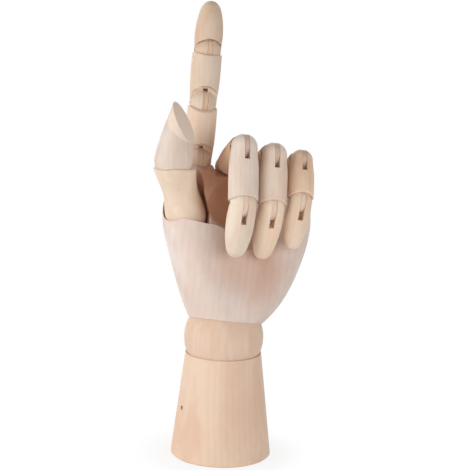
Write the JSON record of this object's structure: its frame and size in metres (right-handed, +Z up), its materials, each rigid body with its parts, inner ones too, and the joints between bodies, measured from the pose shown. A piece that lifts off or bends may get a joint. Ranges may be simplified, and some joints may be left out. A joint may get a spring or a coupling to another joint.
{
  "type": "wooden hand mannequin",
  "caption": "Articulated wooden left hand mannequin on a tapered forearm stand, with a ball wrist and slotted knuckle joints in every finger and the thumb.",
  "frame": {"origin": "centre of the forearm stand's flat bottom face", "axes": "+Z up along the forearm's axis, -Y the way the palm faces, -X the thumb's side"},
  "size_m": [0.1092, 0.0838, 0.2989],
  "materials": {
    "forearm_beech": "sanded",
    "wrist_beech": "sanded",
    "palm_beech": "sanded",
    "thumb_beech": "sanded",
    "finger_beech": "sanded",
    "tongue_beech": "sanded",
    "steel": "drawn"
  },
  "bodies": {
    "forearm": {"forearm": "forearm_beech", "anchor_pin": "steel", "wrist_spring": "steel"},
    "swivel": {"swivel_stud": "steel"},
    "wrist_ball": {"wrist_ball": "wrist_beech"},
    "palm": {"palm": "palm_beech", "palm_hook": "steel", "thumb_root_tongue": "tongue_beech", "index_proximal_tongue": "tongue_beech", "middle_proximal_tongue": "tongue_beech", "ring_proximal_tongue": "tongue_beech", "little_proximal_tongue": "tongue_beech"},
    "thumb_root": {"thumb_root": "thumb_beech", "thumb_root_pin": "steel", "thumb_tip_tongue": "tongue_beech"},
    "thumb_tip": {"thumb_tip": "finger_beech", "thumb_tip_pin": "steel"},
    "index_proximal": {"index_proximal": "finger_beech", "index_proximal_pin": "steel", "index_middle_tongue": "tongue_beech"},
    "index_middle": {"index_middle": "finger_beech", "index_middle_pin": "steel", "index_distal_tongue": "tongue_beech"},
    "index_distal": {"index_distal": "finger_beech", "index_distal_pin": "steel"},
    "middle_proximal": {"middle_proximal": "finger_beech", "middle_proximal_pin": "steel", "middle_middle_tongue": "tongue_beech"},
    "middle_middle": {"middle_middle": "finger_beech", "middle_middle_pin": "steel", "middle_distal_tongue": "tongue_beech"},
    "middle_distal": {"middle_distal": "finger_beech", "middle_distal_pin": "steel"},
    "ring_proximal": {"ring_proximal": "finger_beech", "ring_proximal_pin": "steel", "ring_middle_tongue": "tongue_beech"},
    "ring_middle": {"ring_middle": "finger_beech", "ring_middle_pin": "steel", "ring_distal_tongue": "tongue_beech"},
    "ring_distal": {"ring_distal": "finger_beech", "ring_distal_pin": "steel"},
    "little_proximal": {"little_proximal": "finger_beech", "little_proximal_pin": "steel", "little_middle_tongue": "tongue_beech"},
    "little_middle": {"little_middle": "finger_beech", "little_middle_pin": "steel", "little_distal_tongue": "tongue_beech"},
    "little_distal": {"little_distal": "finger_beech", "little_distal_pin": "steel"}
  },
  "joints": [
    {"name": "wrist_twist", "type": "hinge", "parent": "forearm", "child": "swivel", "pos_m": [0, 0, 0.08], "axis": [0, 0, 1], "range_deg": [-90, 90]},
    {"name": "wrist_side_tilt", "type": "hinge", "parent": "swivel", "child": "wrist_ball", "pos_m": [0, 0, 0.08], "axis": [0, 1, 0], "range_deg": [-18, 6]},
    {"name": "wrist_bend", "type": "hinge", "parent": "wrist_ball", "child": "palm", "pos_m": [0, 0, 0.08], "axis": [0.9934, 0, -0.1149], "range_deg": [-15, 35]},
    {"name": "thumb_root_swing", "type": "hinge", "parent": "palm", "child": "thumb_root", "pos_m": [-0.02595, 0.00845, 0.16021], "axis": [-0.2131, -0.9261, -0.3114], "range_deg": [-10, 10]},
    {"name": "thumb_tip_swing", "type": "hinge", "parent": "thumb_root", "child": "thumb_tip", "pos_m": [-0.03676, -0.00153, 0.19727], "axis": [-0.3695, -0.927, -0.0646], "range_deg": [-10, 40]},
    {"name": "index_proximal_bend", "type": "hinge", "parent": "palm", "child": "index_proximal", "pos_m": [-0.0165, 0.0198, 0.19493], "axis": [0.995, 0.0027, -0.0996], "range_deg": [-8, 54]},
    {"name": "index_middle_bend", "type": "hinge", "parent": "index_proximal", "child": "index_middle", "pos_m": [-0.01281, 0.02636, 0.23197], "axis": [0.995, 0.0027, -0.0996], "range_deg": [-3, 92]},
    {"name": "index_distal_bend", "type": "hinge", "parent": "index_middle", "child": "index_distal", "pos_m": [-0.00939, 0.03245, 0.26637], "axis": [0.995, 0.0027, -0.0996], "range_deg": [-3, 45]},
    {"name": "middle_proximal_bend", "type": "hinge", "parent": "palm", "child": "middle_proximal", "pos_m": [0.00394, 0.01945, 0.19058], "axis": [0.9966, 0.0058, -0.0824], "range_deg": [-75, 2]},
    {"name": "middle_middle_bend", "type": "hinge", "parent": "middle_proximal", "child": "middle_middle", "pos_m": [0.00559, -0.0175, 0.20804], "axis": [0.9966, 0.0058, -0.0824], "range_deg": [-94, 0]},
    {"name": "middle_distal_bend", "type": "hinge", "parent": "middle_middle", "child": "middle_distal", "pos_m": [0.00283, -0.03106, 0.17373], "axis": [0.9966, 0.0058, -0.0824], "range_deg": [-31, 4]},
    {"name": "ring_proximal_bend", "type": "hinge", "parent": "palm", "child": "ring_proximal", "pos_m": [0.02417, 0.0191, 0.18626], "axis": [0.9947, 0.0021, -0.103], "range_deg": [-75, 1]},
    {"name": "ring_middle_bend", "type": "hinge", "parent": "ring_proximal", "child": "ring_middle", "pos_m": [0.02597, -0.01613, 0.20289], "axis": [0.9947, 0.0021, -0.103], "range_deg": [-97, 0]},
    {"name": "ring_distal_bend", "type": "hinge", "parent": "ring_middle", "child": "ring_distal", "pos_m": [0.02265, -0.02692, 0.17061], "axis": [0.9947, 0.0021, -0.103], "range_deg": [-32, 2]},
    {"name": "little_proximal_bend", "type": "hinge", "parent": "palm", "child": "little_proximal", "pos_m": [0.04298, 0.01823, 0.17912], "axis": [0.9896, -0.0052, -0.1439], "range_deg": [-66, 3]},
    {"name": "little_middle_bend", "type": "hinge", "parent": "little_proximal", "child": "little_middle", "pos_m": [0.04568, -0.01112, 0.19873], "axis": [0.9896, -0.0052, -0.1439], "range_deg": [-94, 1]},
    {"name": "little_distal_bend", "type": "hinge", "parent": "little_middle", "child": "little_distal", "pos_m": [0.04205, -0.02518, 0.17433], "axis": [0.9896, -0.0052, -0.1439], "range_deg": [-33, 4]}
  ]
}
